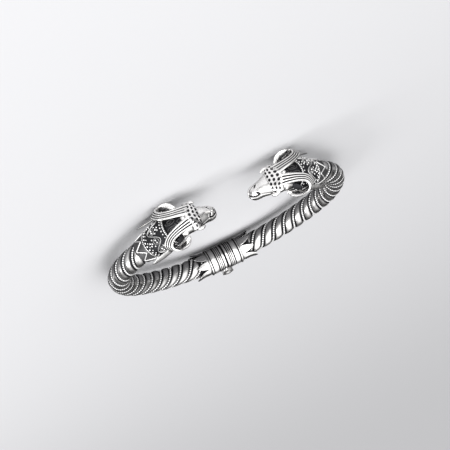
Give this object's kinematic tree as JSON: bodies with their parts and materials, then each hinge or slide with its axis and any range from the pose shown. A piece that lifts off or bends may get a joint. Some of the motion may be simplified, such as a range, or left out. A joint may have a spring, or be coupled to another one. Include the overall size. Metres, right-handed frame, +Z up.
{
  "type": "torc bracelet",
  "caption": "Hinged open torc bangle of twisted, wire-bound rope with a leafed barrel at the back and ram's-head ends with ridged curling horns facing across a gap.",
  "frame": {"origin": "on the floor under the middle of the bracelet's box, the bracelet lying on its side", "axes": "+X across the bracelet towards its left arm, +Y towards the hinge at the back, heads and gap at -Y, +Z up; the ring's own axis leans 2 degrees from +Z towards +Y"},
  "size_m": [0.0654, 0.0608, 0.0119],
  "materials": {
    "bright_silver": "polished silver",
    "rope_silver": "polished silver with darkened grooves",
    "wire_silver": "bright beaded silver wire",
    "dark_silver": "oxidised silver"
  },
  "bodies": {
    "left_half": {"barrel_left": "bright_silver", "hinge_pin": "wire_silver", "leaf_collar_left": "bright_silver", "rope_left": "rope_silver", "groove_wires_left": "wire_silver", "tooth_collar_left": "wire_silver", "neck_left": "dark_silver", "ram_head_left": "bright_silver"},
    "right_half": {"barrel_right": "bright_silver", "leaf_collar_right": "bright_silver", "rope_right": "rope_silver", "groove_wires_right": "wire_silver", "tooth_collar_right": "wire_silver", "neck_right": "dark_silver", "ram_head_right": "bright_silver"}
  },
  "joints": [
    {"name": "hinge", "type": "hinge", "parent": "left_half", "child": "right_half", "pos_m": [0, 0.02871, 0.00405], "axis": [0, -0.0349, -0.9994], "range_deg": [0, 40]}
  ]
}
